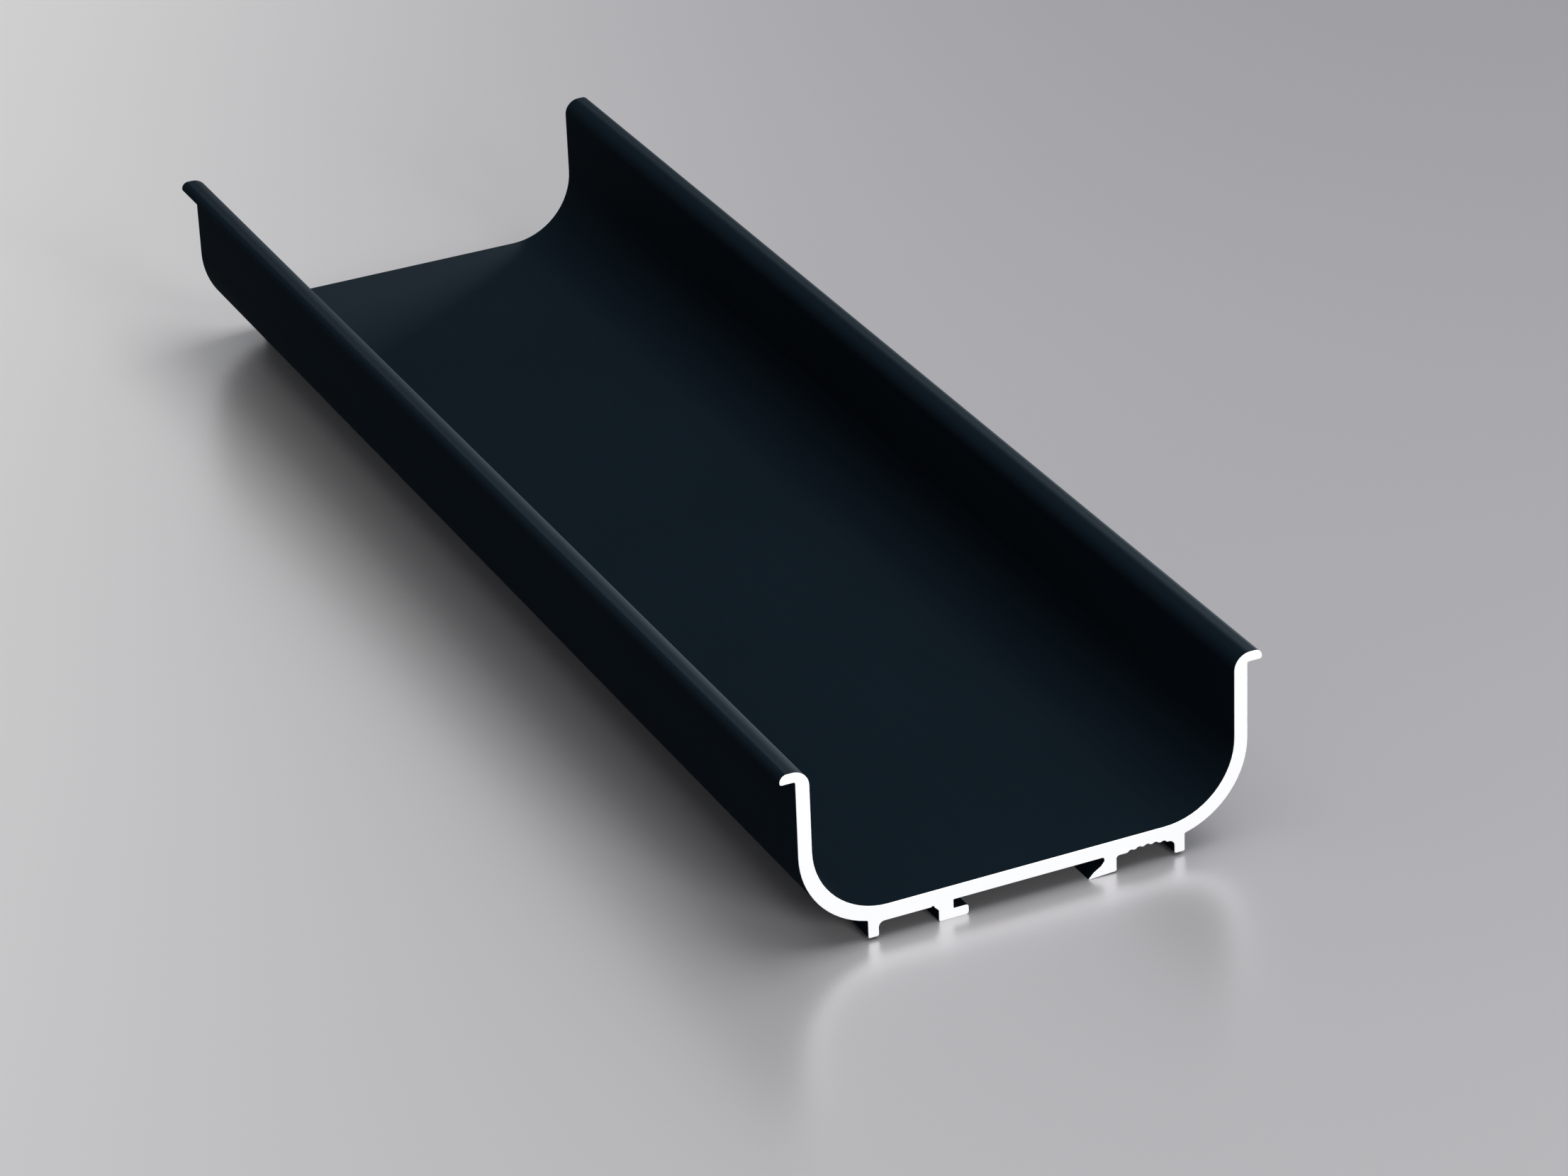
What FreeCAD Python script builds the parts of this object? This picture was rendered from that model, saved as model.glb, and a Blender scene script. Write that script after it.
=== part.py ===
import FreeCAD, Part
import os
import re
import Sketcher

# A length of extruded aluminium profile that makes the finger space of a handleless
# cabinet front. It is one piece: a C-shaped trough with rolled lips, and on its back
# two legs, two hooks for clip-in brackets and a grooved arch.
#
# The profile runs along Y and is drawn in the XZ plane. It rests on its two hooks at
# Z = 0, with X = 0 midway between its walls and Y = 0 at half its length.

NAME = "finger_pull_profile"
CLOSE = 1e-4

# Each size: its name, millimetres (or a count), and what it measures.
SIZES = (
    ("length", 230, "cut length"),
    ("trough_width", 64.8, "clear width between the walls"),
    ("trough_depth", 23.9, "floor of the trough to the crest of the lips"),
    ("wall_thickness", 2.05, "side walls"),
    ("floor_thickness", 2.2, "floor of the trough"),
    ("inner_corner", 11.1, "radius from floor to wall, inside"),
    ("outer_corner", 12.9, "radius from floor to wall, outside"),
    ("lip_reach", 4.35, "inner face of a wall to the end of its lip"),
    ("lip_thickness", 1.5, "flat part of a lip"),
    ("lip_roll", 2.5, "radius from a wall over into its lip"),
    ("lip_brow", 1.1, "upper radius at the end of a lip"),
    ("lip_chin", 0.35, "lower radius at the end of a lip"),
    ("lip_root", 0.3, "radius between a lip and the outside of its wall"),
    ("stand_height", 2.9, "bottom of the hooks to the underside of the floor"),
    ("band_depth", 0.3, "thicker strip of the floor between leg and hook"),
    ("leg_inset", 9.97, "outer face of a wall to the outer side of its leg"),
    ("leg_thickness", 1.6, "legs"),
    ("leg_lift", 0.45, "bottom of the hooks to the bottom of the legs"),
    ("leg_root", 0.9, "radius on the inner side of a leg"),
    ("leg_heel", 0.25, "radius on the outer side of a leg"),
    ("foot_round", 0.25, "small radius at the feet of legs and hooks"),
    ("rail_half", 13.75, "middle of the profile to the back of a hook"),
    ("hook_stem", 2.25, "stem of the square hook"),
    ("hook_reach", 4.55, "back of the square hook to its toe"),
    ("hook_toe", 1.5, "thickness of the square hook's toe"),
    ("hook_throat", 0.15, "radius in the two corners inside the square hook"),
    ("toe_round", 0.4, "radius at the end of the toe"),
    ("hook_gusset", 0.8, "bevel behind the square hook"),
    ("gusset_groove", 0.25, "radius of the relief groove beside the bevel"),
    ("barb_stem", 1.9, "stem of the barbed hook"),
    ("barb_reach", 4.5, "back of the barbed hook to its tip"),
    ("barb_keel", 0.22, "rise of the barb's underside from tip to back"),
    ("barb_ramp", 0.95, "height and length of the steep ramp above the tip"),
    ("barb_shoulder", 1.6, "height of the barb's shoulder"),
    ("barb_shoulder_in", 0.55, "stem of the barbed hook to the shoulder"),
    ("barb_neck", 0.65, "straight part of the stem under the floor"),
    ("barb_round", 0.08, "radius at the barb's tip"),
    ("barb_throat", 0.35, "radius between the barbed hook's stem and the floor"),
    ("barb_root", 0.5, "radius behind the barbed hook"),
    ("arch_after_hook", 1.1, "flat strip from the barbed hook's root to the arch"),
    ("arch_before_leg", 0.15, "flat strip from the arch to the root of the leg"),
    ("arch_rise", 0.35, "rise of the arch"),
    ("groove_radius", 0.6, "radius of the grooves in the arch"),
    ("groove_depth", 0.2, "depth of the grooves"),
    ("groove_count", 5, "grooves, spread evenly over the arch"),
)

# Places worked out from the sizes.
PLACES = (
    ("inner_side", "trough_width / 2", "inner face of a wall"),
    ("outer_side", "inner_side + wall_thickness", "outer face of a wall"),
    ("lip_end", "inner_side + lip_reach", "end of a lip"),
    ("floor_top", "stand_height + floor_thickness", "floor of the trough"),
    ("crest", "floor_top + trough_depth", "top of the lips"),
    ("lip_under", "crest - lip_thickness", "underside of a lip"),
    ("root", "stand_height + floor_thickness / 2", "mid-thickness of the floor"),
    ("band_under", "stand_height - band_depth", "underside of the thicker strips"),
    ("leg_outer", "outer_side - leg_inset", "outer side of a leg"),
    ("leg_inner", "leg_outer - leg_thickness", "inner side of a leg"),
    ("corner_run", "max(0; outer_corner - leg_inset)", "start of the corner to a leg's outer side"),
    ("corner_drop", "sqrt(outer_corner ^ 2 - corner_run ^ 2)", "centre of the corner down to there"),
    ("heel_level", "stand_height + outer_corner - corner_drop", "where the leg meets the corner"),
    ("leg_top", "heel_level + floor_thickness / 2", "how far a leg is let into the floor"),
    ("hook_back", "-rail_half", "back of the square hook"),
    ("hook_inside", "hook_stem - rail_half", "stem of the square hook"),
    ("hook_end", "hook_reach - rail_half", "end of the square hook's toe"),
    ("relief_across", "hook_back - hook_gusset - gusset_groove * 0.4", "relief groove beside the bevel"),
    ("relief_up", "band_under - gusset_groove / 2", "height of the relief groove's centre"),
    ("barb_in", "rail_half - barb_stem", "stem of the barbed hook"),
    ("barb_end", "rail_half - barb_reach", "tip of the barbed hook"),
    ("barb_waist", "stand_height - barb_neck", "where the barb's shoulder meets the stem"),
    ("arch_start", "rail_half + barb_root + arch_after_hook", "arch, hook side"),
    ("arch_end", "leg_inner - leg_root - arch_before_leg", "arch, leg side"),
    ("arch_middle", "(arch_start + arch_end) / 2", "middle of the arch"),
    ("arch_half", "(arch_end - arch_start) / 2", "half of its span"),
    ("arch_radius", "(arch_half ^ 2 / arch_rise + arch_rise) / 2", "radius of the arch"),
    ("arch_centre", "band_under + arch_rise - arch_radius", "height of the arch's centre"),
    ("arch_turn", "2 * asin(arch_half / arch_radius)", "degrees that the arch turns through"),
    ("groove_turn", "arch_turn / groove_count", "degrees from groove to groove"),
    ("groove_circle", "arch_radius + groove_depth - groove_radius", "circle of the grooves' centres"),
)


def fill_sheet(doc):
    """The sheet that every feature reads: sizes first, then the places worked out from them."""
    sheet = doc.addObject("Spreadsheet::Sheet", "sizes")
    rows = [(alias, str(value), note) for alias, value, note in SIZES]
    rows += [(alias, "=" + formula, note) for alias, formula, note in PLACES]
    for row, (alias, content, note) in enumerate(rows, 1):
        sheet.set(f"A{row}", alias)
        sheet.set(f"B{row}", content)
        sheet.setAlias(f"B{row}", alias)
        sheet.set(f"C{row}", note)
    doc.recompute()
    return sheet


class Profile:
    """One body, built from sketches of its cross-section that run its whole length."""

    def __init__(self, doc, sheet, name):
        self.doc = doc
        self.sheet = sheet
        self.body = doc.addObject("PartDesign::Body", name)
        self.body.Label = name

    def bound(self, formula):
        """The formula with every alias read from the sheet."""
        aliases = r"\b(" + "|".join(row[0] for row in SIZES + PLACES) + r")\b"
        return re.sub(aliases, r"sizes.\1", formula)

    def value(self, formula):
        return float(self.sheet.evalExpression(formula))

    def point(self, place):
        across, up = place
        return FreeCAD.Vector(self.value(across), self.value(up), 0)

    def origin_plane(self, role):
        return [item for item in self.body.Origin.OriginFeatures if item.Role == role][0]

    def sketch(self, name):
        """An empty sketch on the cross-section plane."""
        sketch = self.body.newObject("Sketcher::SketchObject", name)
        sketch.AttachmentSupport = [(self.origin_plane("XZ_Plane"), "")]
        sketch.MapMode = "FlatFace"
        return sketch

    def hold(self, sketch, element, vertex, place):
        """Ties a sketch point's two distances from the sketch's origin to the sheet."""
        for kind, formula in zip(("DistanceX", "DistanceY"), place):
            distance = Sketcher.Constraint(kind, -1, 1, element, vertex, self.value(formula))
            number = sketch.addConstraint(distance)
            sketch.setExpression(f"Constraints[{number}]", self.bound(formula))

    def outline(self, name, corners):
        """A closed outline of straight lines from corner to corner."""
        sketch = self.sketch(name)
        last = len(corners) - 1
        for i, corner in enumerate(corners):
            following = corners[0] if i == last else corners[i + 1]
            sketch.addGeometry(Part.LineSegment(self.point(corner), self.point(following)))
        for i, corner in enumerate(corners):
            following = 0 if i == last else i + 1
            sketch.addConstraint(Sketcher.Constraint("Coincident", i, 2, following, 1))
            self.hold(sketch, i, 1, corner)
        return sketch

    def circle(self, sketch, place, radius):
        """A circle in a sketch, with its centre and radius tied to the sheet."""
        normal = FreeCAD.Vector(0, 0, 1)
        circle = sketch.addGeometry(Part.Circle(self.point(place), normal, self.value(radius)))
        self.hold(sketch, circle, 3, place)
        number = sketch.addConstraint(Sketcher.Constraint("Radius", circle, self.value(radius)))
        sketch.setExpression(f"Constraints[{number}]", self.bound(radius))

    def extrude(self, kind, name, sketch):
        """A pad or pocket over the whole length, half to each side of the sketch."""
        feature = self.body.newObject("PartDesign::" + kind, name)
        feature.Profile = sketch
        feature.SideType = "Symmetric"
        feature.setExpression("Length", "sizes.length")
        self.doc.recompute()
        return feature

    def pad(self, name, corners):
        return self.extrude("Pad", name, self.outline(name + "_outline", corners))

    def pocket(self, name, sketch):
        before = self.body.Shape.Volume
        feature = self.extrude("Pocket", name, sketch)
        if feature.Shape.Volume >= before - CLOSE:
            raise RuntimeError(f"{name} cut nothing")
        return feature

    def mirror(self, name, feature):
        """The same feature on the other side of the profile's middle."""
        mirrored = self.body.newObject("PartDesign::Mirrored", name)
        mirrored.Originals = [feature]
        mirrored.MirrorPlane = (self.origin_plane("YZ_Plane"), [""])
        self.body.Tip = mirrored
        self.doc.recompute()

    def lengthwise_edges(self, places):
        """Names of the straight lengthwise edges at these places of the cross-section."""
        wanted = [self.point(place) for place in places]
        found = []
        for number, edge in enumerate(self.body.Shape.Edges, 1):
            start = edge.Vertexes[0].Point
            end = edge.Vertexes[-1].Point
            across = FreeCAD.Vector(start.x, start.z, 0)
            if across.distanceToPoint(FreeCAD.Vector(end.x, end.z, 0)) > CLOSE:
                continue
            if any(across.distanceToPoint(spot) < CLOSE for spot in wanted):
                found.append(f"Edge{number}")
        if len(found) != len(wanted):
            raise RuntimeError(f"{len(found)} edges found for {places}")
        return found

    def dress(self, kind, size, name, formula, places):
        """A fillet or chamfer along lengthwise edges."""
        edges = self.lengthwise_edges(places)
        tip = self.body.Tip
        feature = self.body.newObject("PartDesign::" + kind, name)
        feature.Base = (tip, edges)
        feature.setExpression(size, self.bound(formula))
        self.doc.recompute()

    def fillet(self, name, radius, places):
        self.dress("Fillet", "Radius", name, radius, places)

    def chamfer(self, name, size, places):
        self.dress("Chamfer", "Size", name, size, places)


def both_sides(across, up):
    """The same place right and left of the middle."""
    return [(across, up), (f"-({across})", up)]


def capped(radius, wall, share):
    """A radius that never takes more than its share of a wall's thickness."""
    return f"min({radius}; {wall} * {share})"


def add_trough(profile):
    """Floor and walls, up to the crest of the lips, with the large corner radii."""
    profile.pad(
        "trough",
        [
            ("-outer_side", "stand_height"),
            ("outer_side", "stand_height"),
            ("outer_side", "crest"),
            ("inner_side", "crest"),
            ("inner_side", "floor_top"),
            ("-inner_side", "floor_top"),
            ("-inner_side", "crest"),
            ("-outer_side", "crest"),
        ],
    )
    profile.fillet("inner_corners", "inner_corner", both_sides("inner_side", "floor_top"))
    profile.fillet("outer_corners", "outer_corner", both_sides("outer_side", "stand_height"))


def add_lips(profile):
    """The walls roll over outwards into two short lips."""
    lip = profile.pad(
        "lip",
        [
            ("inner_side", "lip_under"),
            ("lip_end", "lip_under"),
            ("lip_end", "crest"),
            ("inner_side", "crest"),
        ],
    )
    profile.mirror("second_lip", lip)
    profile.fillet("lip_rolls", "lip_roll", both_sides("inner_side", "crest"))
    profile.fillet("lip_roots", "lip_root", both_sides("outer_side", "lip_under"))
    brow = capped("lip_brow", "lip_thickness", 0.74)
    chin = capped("lip_chin", "lip_thickness", 0.24)
    profile.fillet("lip_brows", brow, both_sides("lip_end", "crest"))
    profile.fillet("lip_chins", chin, both_sides("lip_end", "lip_under"))


def add_bands(profile):
    """The floor is slightly thicker between each hook and the leg beside it."""
    band = profile.pad(
        "band",
        [
            ("rail_half", "band_under"),
            ("leg_inner + leg_thickness / 2", "band_under"),
            ("leg_inner + leg_thickness / 2", "root"),
            ("rail_half", "root"),
        ],
    )
    profile.mirror("second_band", band)


def add_arch(profile):
    """A flat arch in the right-hand strip, with round grooves set out along its curve."""
    sketch = profile.sketch("arch_outline")
    left = ("arch_start", "band_under")
    right = ("arch_end", "band_under")
    top = ("arch_middle", "band_under + arch_rise")
    arc = Part.Arc(profile.point(right), profile.point(top), profile.point(left))
    sketch.addGeometry(arc)
    sketch.addGeometry(Part.LineSegment(profile.point(left), profile.point(right)))
    sketch.addConstraint(Sketcher.Constraint("Coincident", 0, 2, 1, 1))
    sketch.addConstraint(Sketcher.Constraint("Coincident", 0, 1, 1, 2))
    profile.hold(sketch, 1, 1, left)
    profile.hold(sketch, 1, 2, right)
    radius = Sketcher.Constraint("Radius", 0, profile.value("arch_radius"))
    number = sketch.addConstraint(radius)
    sketch.setExpression(f"Constraints[{number}]", "sizes.arch_radius")
    profile.pocket("arch", sketch)

    # The groove's sketch has its origin at the arch's centre and is turned to the first
    # groove, so that the pattern turns about the sketch's own axis.
    sketch = profile.sketch("groove_outline")
    first = "(arch_turn - groove_turn) / 2"
    sketch.setExpression("AttachmentOffset.Base.x", "sizes.arch_middle")
    sketch.setExpression("AttachmentOffset.Base.y", "sizes.arch_centre")
    sketch.setExpression("AttachmentOffset.Rotation.Angle", profile.bound(first))
    profile.circle(sketch, ("0", "groove_circle"), "groove_radius")
    groove = profile.pocket("groove", sketch)
    grooves = profile.body.newObject("PartDesign::PolarPattern", "grooves")
    grooves.Originals = [groove]
    grooves.Axis = (sketch, ["N_Axis"])
    grooves.Reversed = True
    grooves.setExpression("Occurrences", "sizes.groove_count")
    grooves.setExpression("Angle", profile.bound("(groove_count - 1) * groove_turn"))
    profile.body.Tip = grooves
    profile.doc.recompute()


def add_legs(profile):
    """Two legs near the corners, rounded into the floor on their inner side."""
    leg = profile.pad(
        "leg",
        [
            ("leg_inner", "leg_lift"),
            ("leg_outer", "leg_lift"),
            ("leg_outer", "leg_top"),
            ("leg_inner", "leg_top"),
        ],
    )
    profile.mirror("second_leg", leg)
    feet = both_sides("leg_inner", "leg_lift") + both_sides("leg_outer", "leg_lift")
    profile.fillet("leg_feet", capped("foot_round", "leg_thickness", 0.4), feet)
    profile.fillet("leg_roots", "leg_root", both_sides("leg_inner", "band_under"))
    profile.fillet("leg_heels", "leg_heel", both_sides("leg_outer", "heel_level"))


def add_square_hook(profile):
    """Left-hand hook with a straight toe. A bracket slides or swings in under the toe."""
    profile.pad(
        "square_hook",
        [
            ("hook_back", "0"),
            ("hook_end", "0"),
            ("hook_end", "hook_toe"),
            ("hook_inside", "hook_toe"),
            ("hook_inside", "root"),
            ("hook_back", "root"),
        ],
    )
    ends = [("hook_end", "0"), ("hook_end", "hook_toe")]
    throat = [("hook_inside", "stand_height"), ("hook_inside", "hook_toe")]
    profile.fillet("square_hook_foot", "foot_round", [("hook_back", "0")])
    profile.fillet("square_hook_toe", capped("toe_round", "hook_toe", 0.4), ends)
    profile.fillet("square_hook_throat", "hook_throat", throat)
    profile.chamfer("square_hook_gusset", "hook_gusset", [("hook_back", "band_under")])
    sketch = profile.sketch("gusset_groove_outline")
    profile.circle(sketch, ("relief_across", "relief_up"), "gusset_groove")
    profile.pocket("relief_groove", sketch)


def add_barbed_hook(profile):
    """Right-hand hook with a sloping barb that a bracket snaps over."""
    profile.pad(
        "barbed_hook",
        [
            ("barb_end", "0"),
            ("rail_half", "barb_keel"),
            ("rail_half", "root"),
            ("barb_in", "root"),
            ("barb_in", "barb_waist"),
            ("barb_in - barb_shoulder_in", "barb_shoulder"),
            ("barb_end + barb_ramp", "barb_ramp"),
        ],
    )
    profile.fillet("barbed_hook_foot", "foot_round", [("rail_half", "barb_keel")])
    profile.fillet("barb_nose", "barb_round", [("barb_end", "0")])
    profile.fillet("barbed_hook_throat", "barb_throat", [("barb_in", "stand_height")])
    profile.fillet("barbed_hook_root", "barb_root", [("rail_half", "band_under")])


def build():
    doc = FreeCAD.newDocument("finger_pull")
    sheet = fill_sheet(doc)
    profile = Profile(doc, sheet, NAME)
    add_trough(profile)
    add_lips(profile)
    add_bands(profile)
    add_arch(profile)
    add_legs(profile)
    add_square_hook(profile)
    add_barbed_hook(profile)
    doc.recompute()
    return doc, profile.body


def check(doc, body):
    """Stops on any failed feature, bad shape or second solid."""
    for item in doc.Objects:
        if "Invalid" in item.State or "Error" in item.State:
            raise RuntimeError(f"{item.Name} failed: {item.State}")
    if body.Shape.isNull() or not body.Shape.isValid():
        raise RuntimeError("the profile's shape is not valid")
    if len(body.Shape.Solids) != 1:
        raise RuntimeError(f"{len(body.Shape.Solids)} solids instead of one")


doc, body = build()
check(doc, body)
os.makedirs("parts", exist_ok=True)
body.Shape.exportStep(f"parts/{NAME}.step")
box = body.Shape.BoundBox
print(f"{box.XLength:.2f} x {box.YLength:.2f} x {box.ZLength:.2f} mm, {body.Shape.Volume / 1000:.2f} cm3")
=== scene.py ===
import bpy
import numpy as np
from mathutils import Matrix, Vector


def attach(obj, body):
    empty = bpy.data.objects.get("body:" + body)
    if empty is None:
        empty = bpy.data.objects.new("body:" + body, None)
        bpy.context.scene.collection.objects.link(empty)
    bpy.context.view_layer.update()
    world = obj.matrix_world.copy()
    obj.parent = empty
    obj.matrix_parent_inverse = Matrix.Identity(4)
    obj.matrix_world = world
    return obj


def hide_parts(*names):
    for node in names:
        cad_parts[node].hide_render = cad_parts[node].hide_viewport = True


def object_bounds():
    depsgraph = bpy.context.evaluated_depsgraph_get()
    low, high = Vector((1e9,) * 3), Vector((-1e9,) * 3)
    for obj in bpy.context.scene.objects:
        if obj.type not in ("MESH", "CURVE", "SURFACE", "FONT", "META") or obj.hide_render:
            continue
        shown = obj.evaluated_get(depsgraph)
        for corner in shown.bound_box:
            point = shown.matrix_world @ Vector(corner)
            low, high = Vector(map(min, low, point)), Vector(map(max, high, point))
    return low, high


# A cut length of dark coated aluminium profile that makes the finger space between
# handleless cabinet fronts. One piece stands for the CAD solid. Its cross-section is
# worked out as an outline in X and Z, in millimetres, and is carried along Y.

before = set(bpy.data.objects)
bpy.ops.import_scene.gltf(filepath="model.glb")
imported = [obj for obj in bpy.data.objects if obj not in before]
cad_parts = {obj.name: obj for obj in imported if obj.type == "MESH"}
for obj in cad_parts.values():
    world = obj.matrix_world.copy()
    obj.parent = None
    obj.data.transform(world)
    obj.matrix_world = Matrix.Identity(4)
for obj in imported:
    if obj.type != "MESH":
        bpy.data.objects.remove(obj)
cad_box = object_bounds()

MM = 0.001

# All sizes are in millimetres. The length, the height and the width over the lips are read
# from the bounds of the imported CAD solid, to a thousandth. The rest are the CAD solid's own.
LIP_END, HALF_LENGTH, CREST = (round(side / MM, 3) for side in cad_box[1])

# The trough.
WALL = 2.05
FLOOR = 2.2
TROUGH_DEPTH = 23.9
INNER_CORNER = 11.1
OUTER_CORNER = 12.9

# The lips that its walls roll over into.
LIP_REACH = 4.35
LIP = 1.5
LIP_ROLL = 2.5
LIP_BROW = 1.1
LIP_CHIN = 0.35
LIP_ROOT = 0.3

# The two legs, and the thicker strips between them and the hooks.
BAND = 0.3
LEG_INSET = 9.97
LEG = 1.6
LEG_FOOT = 0.45
LEG_ROOT = 0.9
LEG_HEEL = 0.25
FOOT_ROUND = 0.25

# The square hook, with its bevel and the small relief groove beside it.
RAIL_HALF = 13.75
HOOK_STEM = 2.25
HOOK_REACH = 4.55
HOOK_TOE = 1.5
HOOK_THROAT = 0.15
TOE_ROUND = 0.4
GUSSET = 0.8
RELIEF_RADIUS = 0.25

# The barbed hook.
BARB_STEM = 1.9
BARB_REACH = 4.5
BARB_KEEL = 0.22
BARB_RAMP = 0.95
BARB_SHOULDER = 1.6
BARB_SHOULDER_IN = 0.55
BARB_NECK = 0.65
BARB_NOSE = 0.08
BARB_THROAT = 0.35
BARB_ROOT = 0.5

# The flat arch and its round grooves.
ARCH_AFTER_HOOK = 1.1
ARCH_BEFORE_LEG = 0.15
ARCH_RISE = 0.35
GROOVE_RADIUS = 0.6
GROOVE_DEPTH = 0.2
GROOVES = 5

# Places across X and up Z, worked out from the sizes.
INNER_SIDE = LIP_END - LIP_REACH
OUTER_SIDE = INNER_SIDE + WALL
LIP_UNDER = CREST - LIP
FLOOR_TOP = CREST - TROUGH_DEPTH
FLOOR_UNDER = FLOOR_TOP - FLOOR
BAND_UNDER = FLOOR_UNDER - BAND
LEG_OUTER = OUTER_SIDE - LEG_INSET
LEG_INNER = LEG_OUTER - LEG
HOOK_INSIDE = HOOK_STEM - RAIL_HALF
HOOK_END = HOOK_REACH - RAIL_HALF
BARB_INSIDE = RAIL_HALF - BARB_STEM
BARB_END = RAIL_HALF - BARB_REACH
ARCH_START = RAIL_HALF + BARB_ROOT + ARCH_AFTER_HOOK
ARCH_END = LEG_INNER - LEG_ROOT - ARCH_BEFORE_LEG

# The relief groove's centre lies 0.4 of its radius past the bevel's root, and half its
# radius below the strip.
RELIEF_ACROSS = -RAIL_HALF - GUSSET - 0.4 * RELIEF_RADIUS
RELIEF_UP = BAND_UNDER - RELIEF_RADIUS / 2

# The saw cut at each end is deburred by this bevel.
CUT_BEVEL = 0.05

# How finely an arc, a groove, the lands beside it, the relief groove and the length are
# divided.
ARC_STEPS = 16
GROOVE_POINTS = 11
LAND_POINTS = 3
RELIEF_POINTS = 13
RINGS = 24

# Points nearer to each other than this are one point.
SAME_PLACE = 1e-7


class Outline:
    """Points of a closed cross-section, in order, each with its outward direction.

    A sharp corner is two points at one place with two directions, and becomes one point
    with both. The metal lies to the left of the way round, so outward is to the right.
    """

    def __init__(self, points, outward):
        following = np.roll(points, -1, axis=0)
        kept = np.hypot(*(following - points).T) > SAME_PLACE
        arriving = np.roll(outward, -1, axis=0)
        self.points = points[kept]
        self.leaving = outward[kept]
        self.arriving_next = arriving[kept]
        self.arriving = np.roll(self.arriving_next, 1, axis=0)

    def inset(self, depth):
        """Every point moved into the metal by a depth. At a corner it goes along the sum of
        the two directions over one plus their product, which keeps both sides parallel."""
        both = self.arriving + self.leaving
        spread = 1 + np.sum(self.arriving * self.leaving, axis=1, keepdims=True)
        return self.points - depth * both / spread


def rounded(corners, before, after):
    """Points and outward directions along a run of corners (x, z, radius).

    A corner's arc starts and ends at radius * tan(turn / 2) from the corner. Its centre
    lies on the halving line at radius / cos(turn / 2), and its points stand at that
    radius from it, at even parts of the turn. before and after are the places that the
    run comes from and goes on to.
    """
    spots = np.array([before] + [corner[:2] for corner in corners] + [after], float)
    radius = np.array([corner[2] for corner in corners], float)[:, None]
    way = np.diff(spots, axis=0)
    way /= np.hypot(*way.T)[:, None]
    heading = np.arctan2(way[:, 1], way[:, 0])
    turn = (np.diff(heading) + np.pi) % (2 * np.pi) - np.pi
    turn = turn[:, None]
    part = np.linspace(0, 1, ARC_STEPS + 1)[None, :]
    angle = heading[:-1, None] + turn * part
    outward = np.stack([np.sin(angle), -np.cos(angle)], axis=-1)
    side = np.sign(turn)
    halving = heading[:-1, None] + turn / 2
    inward = np.stack([-np.sin(halving), np.cos(halving)], axis=-1) * side[..., None]
    centre = spots[1:-1, None, :] + inward * (radius / np.cos(turn / 2))[..., None]
    points = centre + outward * (radius * side)[..., None]
    return points.reshape(-1, 2), outward.reshape(-1, 2)


def grooved_arch():
    """Points and outward directions of the arch, seen from its own centre.

    The distance from the arch's centre is the arch's radius on the lands. In a groove it
    is the far side of the groove's circle: c * cos(a) + sqrt(r * r - (c * sin(a)) ** 2),
    at an angle a from the groove's middle. One groove with its two half lands is worked
    out and turned on to each place.
    """
    half = (ARCH_END - ARCH_START) / 2
    radius = (half ** 2 / ARCH_RISE + ARCH_RISE) / 2
    centre = np.array([(ARCH_START + ARCH_END) / 2, BAND_UNDER + ARCH_RISE - radius])
    circle = radius + GROOVE_DEPTH - GROOVE_RADIUS
    pitch = 2 * np.arcsin(half / radius) / GROOVES
    lap = (radius ** 2 + circle ** 2 - GROOVE_RADIUS ** 2) / (2 * radius * circle)
    edge = np.arccos(lap)

    land = np.linspace(edge, pitch / 2, LAND_POINTS)
    hollow = np.linspace(-edge, edge, GROOVE_POINTS)
    reach = circle * np.cos(hollow)
    reach += np.sqrt(GROOVE_RADIUS ** 2 - (circle * np.sin(hollow)) ** 2)
    level = np.full(LAND_POINTS, radius)
    on_land = np.ones(LAND_POINTS, bool)
    angle = np.concatenate([-land[::-1], hollow, land])
    distance = np.concatenate([level, reach, level])
    on_land = np.concatenate([on_land, np.zeros(GROOVE_POINTS, bool), on_land])

    place = (np.arange(GROOVES) - (GROOVES - 1) / 2) * pitch
    middle = np.repeat(place, angle.size)
    angle = (place[:, None] + angle[None, :]).ravel()
    distance = np.tile(distance, GROOVES)
    on_land = np.tile(on_land, GROOVES)[:, None]
    ray = np.stack([np.sin(angle), np.cos(angle)], axis=-1)
    points = ray * distance[:, None]
    groove = circle * np.stack([np.sin(middle), np.cos(middle)], axis=-1)
    into_groove = (groove - points) / GROOVE_RADIUS
    outward = np.where(on_land, -ray, into_groove)
    return points + centre, outward


def relief_crossings():
    """Where the relief groove's circle crosses the strip's underside and the bevel.

    The bevel is the line on which x + z stays the same. The circle's centre lies at a
    distance, gap, from it, and the crossing lies sqrt(r * r - gap * gap) along it.
    """
    level = np.sqrt(RELIEF_RADIUS ** 2 - (BAND_UNDER - RELIEF_UP) ** 2)
    on_strip = (RELIEF_ACROSS - level, BAND_UNDER)
    bevel_sum = BAND_UNDER - RAIL_HALF - GUSSET
    gap = (bevel_sum - RELIEF_ACROSS - RELIEF_UP) / np.sqrt(2)
    along = np.sqrt(RELIEF_RADIUS ** 2 - gap ** 2)
    across = RELIEF_ACROSS + (gap + along) / np.sqrt(2)
    up = RELIEF_UP + (gap - along) / np.sqrt(2)
    return on_strip, (across, up)


def relief_groove(start, end):
    """Points and outward directions of the small round groove beside the hook's bevel,
    at even angles on its circle from one crossing to the other, over the top."""
    centre = np.array([RELIEF_ACROSS, RELIEF_UP])
    first = np.arctan2(*(np.array(start) - centre)[::-1])
    last = np.arctan2(*(np.array(end) - centre)[::-1])
    first += 2 * np.pi * (first < last)
    angle = np.linspace(first, last, RELIEF_POINTS)
    ray = np.stack([np.cos(angle), np.sin(angle)], axis=-1)
    return centre + RELIEF_RADIUS * ray, -ray


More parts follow.
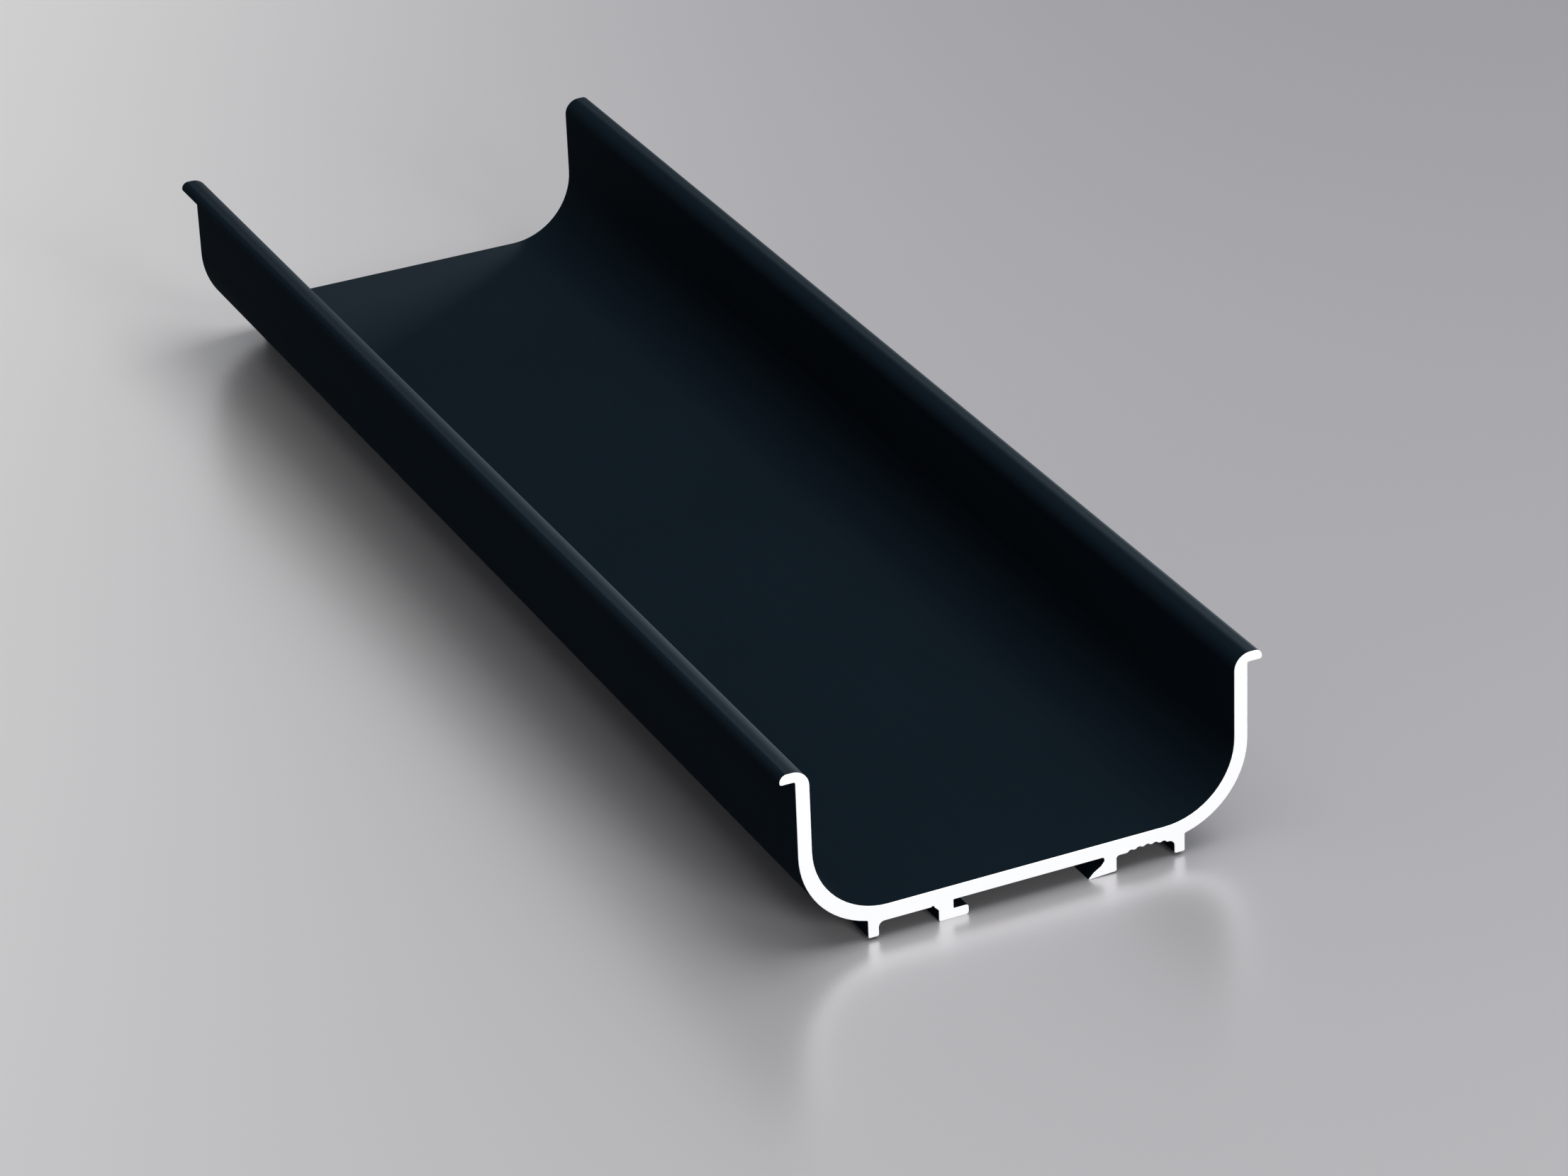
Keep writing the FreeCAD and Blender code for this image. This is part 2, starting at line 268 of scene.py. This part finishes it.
def leg_to_lip():
    """Corners up the right-hand side, from the inner side of the leg to the lip's brow.

    Between the leg and the outer corner the outline follows the straight line that leaves
    the corner's arc where the leg's heel touches it, at that place's own slope.
    """
    centre_across = OUTER_SIDE - OUTER_CORNER
    centre_up = FLOOR_UNDER + OUTER_CORNER
    touch = np.arcsin((LEG_OUTER + LEG_HEEL - centre_across) / OUTER_CORNER)

    def underside(x):
        x0 = centre_across + OUTER_CORNER * np.sin(touch)
        z0 = centre_up - OUTER_CORNER * np.cos(touch)
        return z0 + (x - x0) * np.tan(touch)

    return [
        (LEG_INNER, BAND_UNDER, LEG_ROOT),
        (LEG_INNER, LEG_FOOT, FOOT_ROUND),
        (LEG_OUTER, LEG_FOOT, FOOT_ROUND),
        (LEG_OUTER, underside(LEG_OUTER), LEG_HEEL),
        (OUTER_SIDE, underside(OUTER_SIDE), OUTER_CORNER),
        (OUTER_SIDE, LIP_UNDER, LIP_ROOT),
        (LIP_END, LIP_UNDER, LIP_CHIN),
        (LIP_END, CREST, LIP_BROW),
    ]


def cross_section():
    """The whole outline, counterclockwise as seen from the front end: down the left side,
    along the back over both hooks and the arch, up the right side and through the trough.
    """
    on_strip, on_bevel = relief_crossings()
    side = leg_to_lip()
    left = [(-x, z, radius) for x, z, radius in reversed(side)]
    left.append((*on_strip, 0))
    square_hook = [
        (*on_bevel, 0),
        (-RAIL_HALF, BAND_UNDER - GUSSET, 0),
        (-RAIL_HALF, 0, FOOT_ROUND),
        (HOOK_END, 0, TOE_ROUND),
        (HOOK_END, HOOK_TOE, TOE_ROUND),
        (HOOK_INSIDE, HOOK_TOE, HOOK_THROAT),
        (HOOK_INSIDE, FLOOR_UNDER, HOOK_THROAT),
    ]
    barbed_hook = [
        (BARB_INSIDE, FLOOR_UNDER, BARB_THROAT),
        (BARB_INSIDE, FLOOR_UNDER - BARB_NECK, 0),
        (BARB_INSIDE - BARB_SHOULDER_IN, BARB_SHOULDER, 0),
        (BARB_END + BARB_RAMP, BARB_RAMP, 0),
        (BARB_END, 0, BARB_NOSE),
        (RAIL_HALF, BARB_KEEL, FOOT_ROUND),
        (RAIL_HALF, BAND_UNDER, BARB_ROOT),
        (ARCH_START, BAND_UNDER, 0),
    ]
    trough = [
        (INNER_SIDE, CREST, LIP_ROLL),
        (INNER_SIDE, FLOOR_TOP, INNER_CORNER),
        (-INNER_SIDE, FLOOR_TOP, INNER_CORNER),
        (-INNER_SIDE, CREST, LIP_ROLL),
    ]
    hooks = square_hook + barbed_hook
    right = [(ARCH_END, BAND_UNDER, 0)] + side + trough
    parts = [
        rounded(left, right[-1][:2], on_bevel),
        relief_groove(on_strip, on_bevel),
        rounded(hooks, on_strip, right[0][:2]),
        grooved_arch(),
        rounded(right, hooks[-1][:2], left[0][:2]),
    ]
    points = np.concatenate([part[0] for part in parts])
    outward = np.concatenate([part[1] for part in parts])
    return Outline(points, outward)


def facing_directions(outline, bands):
    """The direction that each corner of each face looks in, in the order of the faces.

    Along the length it comes from the outline, so flats stay flat and arcs are smooth. The
    bevels lean half way to the end, and the end faces look along Y.
    """
    start, stop = outline.leaving, outline.arriving_next
    side = np.stack([start, start, stop, stop], axis=1)
    facing = np.zeros((bands, len(start), 4, 3))
    facing[..., 0] = side[..., 0]
    facing[..., 2] = side[..., 1]
    facing[0, ..., 1] = -1
    facing[-1, ..., 1] = 1
    ends = np.zeros((2, len(start), 3))
    ends[0] = (0, -1, 0)
    ends[1] = (0, 1, 0)
    directions = np.concatenate([facing.reshape(-1, 3), ends.reshape(-1, 3)])
    return directions / np.linalg.norm(directions, axis=1, keepdims=True)


def carried_profile(name, outline, coat, cut):
    """The outline carried along Y as rings of points, closed by a flat face at each end.

    Ring k holds the outline at one y. It is full size along the length, and at the two
    ends it is inset by the small bevel of the cut. Point i of ring k is vertex k * n + i,
    and the faces of band k join point i to i + 1 between rings k and k + 1.
    """
    n = len(outline.points)
    run = np.linspace(-HALF_LENGTH + CUT_BEVEL, HALF_LENGTH - CUT_BEVEL, RINGS)
    y = np.concatenate([[-HALF_LENGTH], run, [HALF_LENGTH]])
    depth = np.concatenate([[CUT_BEVEL], np.zeros(RINGS), [CUT_BEVEL]])
    rings = np.stack([outline.inset(d) for d in depth])
    along = np.broadcast_to(y[:, None], rings.shape[:2])
    verts = np.stack([rings[..., 0], along, rings[..., 1]], axis=-1).reshape(-1, 3)

    bands = len(y) - 1
    i = np.arange(n)
    following = (i + 1) % n
    k = np.arange(bands)[:, None] * n
    quads = np.stack([k + i, k + n + i, k + n + following, k + following], axis=-1)
    quads = quads.reshape(-1, 4)
    front = i.tolist()
    rear = (bands * n + i)[::-1].tolist()
    mesh = bpy.data.meshes.new(name)
    mesh.from_pydata((verts * MM).tolist(), [], quads.tolist() + [front, rear])

    # The coat is the first material. The two bevels and the two end faces are cut metal.
    for material in (coat, cut):
        mesh.materials.append(material)
    band_slots = np.zeros(bands, np.int32)
    band_slots[[0, -1]] = 1
    slots = np.concatenate([np.repeat(band_slots, n), [1, 1]])
    mesh.polygons.foreach_set("material_index", slots.astype(np.int32))
    mesh.polygons.foreach_set("use_smooth", np.ones(len(slots), bool))
    mesh.normals_split_custom_set(facing_directions(outline, bands).tolist())
    piece = bpy.data.objects.new(name, mesh)
    bpy.context.scene.collection.objects.link(piece)
    return piece


class Socket:
    """A node's output that Python's signs work on: each adds the Math node it stands for."""

    def __init__(self, nodes, link):
        self.nodes = nodes
        self.link = link

    def _math(self, operation, *values):
        return self.nodes.add("ShaderNodeMath", {"operation": operation}, *values)

    def __add__(self, other):
        return self._math("ADD", self, other)

    def __sub__(self, other):
        return self._math("SUBTRACT", self, other)

    def __rsub__(self, other):
        return self._math("SUBTRACT", other, self)

    def __mul__(self, other):
        return self._math("MULTIPLY", self, other)

    __radd__ = __add__
    __rmul__ = __mul__


class Nodes:
    """A material's nodes, with its Principled shader ready."""

    def __init__(self, name):
        self.material = bpy.data.materials.new(name)
        self.material.use_nodes = True
        self.tree = self.material.node_tree
        self.shader = self.tree.nodes["Principled BSDF"]

    def add(self, kind, settings=None, *values, output=0, **named):
        """Any node: its settings first, then its sockets by order or by name."""
        node = self.tree.nodes.new(kind)
        for key, value in (settings or {}).items():
            if key == "stops":
                ramp = node.color_ramp
                while len(ramp.elements) < len(value):
                    ramp.elements.new(1)
                for element, (place, colour) in zip(ramp.elements, value):
                    element.position = place
                    element.color = (*colour, 1)
            else:
                setattr(node, key, value)
        for key, value in [*enumerate(values), *named.items()]:
            self.put(node.inputs[key], value)
        return Socket(self, node.outputs[output])

    def put(self, socket, value):
        """A value or another node's output into a socket."""
        if isinstance(value, Socket):
            self.tree.links.new(value.link, socket)
        else:
            socket.default_value = value

    def finish(self, **sockets):
        """The Principled shader's own sockets, named with _ for a space."""
        for key, value in sockets.items():
            self.put(self.shader.inputs[key.replace("_", " ")], value)
        return self.material

    def position(self, scale=(1, 1, 1)):
        """Place on the piece in millimetres, stretched by a scale."""
        place = self.add("ShaderNodeTexCoord", output="Object")
        scale = tuple(s / MM for s in scale)
        return self.add("ShaderNodeMapping", {}, Vector=place, Scale=scale)

    def along(self, place, way):
        """How far a place lies in a direction, times the direction's length."""
        settings = {"operation": "DOT_PRODUCT"}
        return self.add("ShaderNodeVectorMath", settings, place, way, output="Value")

    def noise(self, place, scale, detail=2.0, roughness=0.5):
        """Noise from 0 to 1, with this many waves to a millimetre."""
        return self.add(
            "ShaderNodeTexNoise", {}, Vector=place, Scale=scale, Detail=detail, Roughness=roughness
        )

    def ramp(self, part, low, high):
        """A colour from two stops, each a place from 0 to 1 and the colour there."""
        return self.add("ShaderNodeValToRGB", {"stops": [low, high]}, Fac=part)

    def bump(self, height, strength, distance):
        """A normal from a height, with the distance in metres that a height of 1 stands for."""
        return self.add(
            "ShaderNodeBump", {}, Strength=strength, Distance=distance, Height=height
        )


def satin_coat():
    """Dark blue-black coat: a fine even grain, a slight orange peel, and die lines along
    the length that show only in the highlights."""
    nodes = Nodes("satin coat")
    place = nodes.position()
    lengthwise = nodes.position((1, 0.012, 1))
    peel = nodes.noise(place, 0.55, detail=1.0)
    grain = nodes.noise(place, 5.5)
    lines = nodes.noise(lengthwise, 2.2, detail=3.0, roughness=0.6)
    cloud = nodes.noise(place, 0.03)
    shade = 0.55 * grain + 0.25 * lines + 0.2 * cloud
    dark_blue = (0.0031, 0.0064, 0.0097)
    less_dark_blue = (0.0047, 0.0088, 0.0130)
    colour = nodes.ramp(shade, (0.3, dark_blue), (0.7, less_dark_blue))
    rough = 0.73 + 0.08 * grain + 0.06 * lines
    height = 0.75 * peel + 0.2 * grain + 0.3 * lines
    normal = nodes.bump(height, strength=0.22, distance=0.00006)
    return nodes.finish(
        Base_Color=colour, Roughness=rough, Normal=normal, Specular_IOR_Level=0.009
    )


def sawn_aluminium():
    """Bare metal of the cut ends, matt and nearly white, with the fine curved marks that a
    large saw blade leaves, and a faint cloudiness."""
    nodes = Nodes("sawn aluminium")
    place = nodes.position()

    # The blade's marks run round a place 40 mm to the left of the middle and 190 mm down.
    shift = (40.0, 0.0, 190.0)
    from_blade = nodes.add("ShaderNodeMapping", {}, Vector=place, Location=shift)
    marks = nodes.add(
        "ShaderNodeTexWave",
        {"wave_type": "RINGS", "rings_direction": "Y", "wave_profile": "SIN"},
        Vector=from_blade, Scale=1.1, Distortion=0.8, Detail=2.0, output="Fac",
    )
    cloud = nodes.noise(place, 0.12)
    grain = nodes.noise(place, 4.0)
    shade = 0.45 * marks + 0.35 * cloud + 0.2 * grain
    bright_grey = (0.90, 0.902, 0.906)
    near_white = (0.94, 0.942, 0.945)
    colour = nodes.ramp(shade, (0.2, bright_grey), (0.8, near_white))
    rough = 0.42 + 0.12 * marks + 0.06 * grain
    height = 0.7 * marks + 0.3 * grain
    normal = nodes.bump(height, strength=0.1, distance=0.00002)
    return nodes.finish(
        Base_Color=colour, Roughness=rough, Normal=normal, Specular_IOR_Level=0.03
    )


def floor_with_painted_shade():
    """Pale grey and faintly glossy, with painted shade: lighter on the left and darker on the
    right and at the back, in place of light falling off across the floor. Two directions
    about 0.01 long, across the view and away from it, give a place on the floor in tenths of
    a metre. The painted shade rises across the view as a parabola, steeper further away, and
    the colour follows it smoothly from the pale one to the painted shade's grey."""
    nodes = Nodes("pale floor")
    place = nodes.position()
    cloud = nodes.noise(place, 0.004)
    across = nodes.along(place, (0.009, -0.0043, 0))
    away = nodes.along(place, (0.0041, 0.0091, 0))
    # Painted shade: the floor's colour darkens to the right and towards the back, standing in for
    # light falling off.
    shade = 0.62 + 0.03 * away + across * (0.28 + 0.06 * away - 0.11 * across)
    smooth = {"interpolation_type": "SMOOTHSTEP"}
    soft = nodes.add("ShaderNodeMapRange", smooth, shade + 0.1 * cloud, -0.3, 1.3)
    pale = (0.90, 0.888, 0.865)
    painted_shade_grey = (0.41, 0.398, 0.423)
    colour = nodes.ramp(soft, (0.0, pale), (1.0, painted_shade_grey))
    rough = 0.28 + 0.04 * cloud
    return nodes.finish(Base_Color=colour, Roughness=rough, Metallic=0.6)


def pale_floor(half_side=3.0, steps=6):
    """A wide level surface, in metres, as a function of two parameters: x and y at even
    steps, z nought."""
    side = np.linspace(-half_side, half_side, steps + 1)
    x, y = np.meshgrid(side, side)
    verts = np.stack([x, y, np.zeros_like(x)], axis=-1).reshape(-1, 3)
    i = np.arange(steps)
    start = (i[:, None] * side.size + i[None, :]).ravel()
    quads = np.stack([start, start + 1, start + side.size + 1, start + side.size], axis=-1)
    mesh = bpy.data.meshes.new("floor")
    mesh.from_pydata(verts.tolist(), [], quads.tolist())
    mesh.materials.append(floor_with_painted_shade())
    floor = bpy.data.objects.new("floor", mesh)
    bpy.context.scene.collection.objects.link(floor)
    return floor


def lamp(name, place, size, power, target=(0, 0, 0), edge=False):
    """A soft square or oblong lamp that looks at a target. It lights surfaces without
    showing in gloss, and an edge lamp shows only as a highlight."""
    light = bpy.data.lights.new(name, "AREA")
    light.shape = "RECTANGLE"
    light.size, light.size_y = size
    light.energy = power
    holder = bpy.data.objects.new(name, light)
    way = Vector(target) - Vector(place)
    holder.location = place
    holder.rotation_mode = "QUATERNION"
    holder.rotation_quaternion = way.to_track_quat("-Z", "Y")
    holder.visible_camera = False
    holder.visible_glossy = edge
    holder.visible_diffuse = not edge
    bpy.context.scene.collection.objects.link(holder)
    return holder


def studio(floor):
    """Plain soft light: a pale world, a wide lamp above on the right, a weak one above on
    the left, one in front of the near cut, and a low cool edge lamp at the far right that
    draws the highlight along the lips."""
    world = bpy.data.worlds.new("studio")
    world.use_nodes = True
    background = world.node_tree.nodes["Background"]
    background.inputs["Color"].default_value = (0.93, 0.95, 1.0, 1)
    background.inputs["Strength"].default_value = 0.4
    bpy.context.scene.world = world
    lamp("high lamp", place=(0.50, -0.15, 1.9), size=(1.6, 1.1), power=36.0)
    lamp("fill lamp", place=(-0.5, -0.1, 1.9), size=(0.8, 0.8), power=6.0)
    lamp("front lamp", place=(0.15, -1.9, 0.75), size=(0.6, 0.6), power=24.0)
    rim = lamp(
        "rim lamp", place=(1.21, 0.60, 0.33), size=(0.5, 0.2), power=215.0,
        target=(0, 0, 0.02), edge=True,
    )
    rim.data.color = (0.72, 0.88, 1.0)

    # A flag keeps the rim lamp's light off the floor.
    flagged = bpy.data.collections.new("out of the rim lamp")
    flagged.objects.link(floor)
    flagged.collection_objects[0].light_linking.link_state = "EXCLUDE"
    rim.light_linking.receiver_collection = flagged


def camera():
    """The photograph's view: the camera's place in metres, its three axes and its lens, as
    they were fitted to the cut end and the long edges."""
    place = (-0.30695, -0.71440, 0.39644)
    right = Vector((0.90189, -0.43037, -0.03712))
    up = Vector((0.22742, 0.40001, 0.88785))
    ahead = Vector((0.36726, 0.80918, -0.45864))
    data = bpy.data.cameras.new("camera")
    data.lens = 130.376
    data.sensor_width = 36.0
    data.clip_start, data.clip_end = 0.05, 20.0
    holder = bpy.data.objects.new("camera", data)
    turn = Matrix((right, up, -ahead)).transposed().to_4x4()
    holder.matrix_world = Matrix.Translation(place) @ turn
    bpy.context.scene.collection.objects.link(holder)
    bpy.context.scene.camera = holder


camera()
floor = pale_floor()
profile = carried_profile("coated_profile", cross_section(), satin_coat(), sawn_aluminium())
studio(floor)
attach(profile, "root")
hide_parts("finger_pull_profile")

bpy.context.scene.view_settings.view_transform = "Standard"
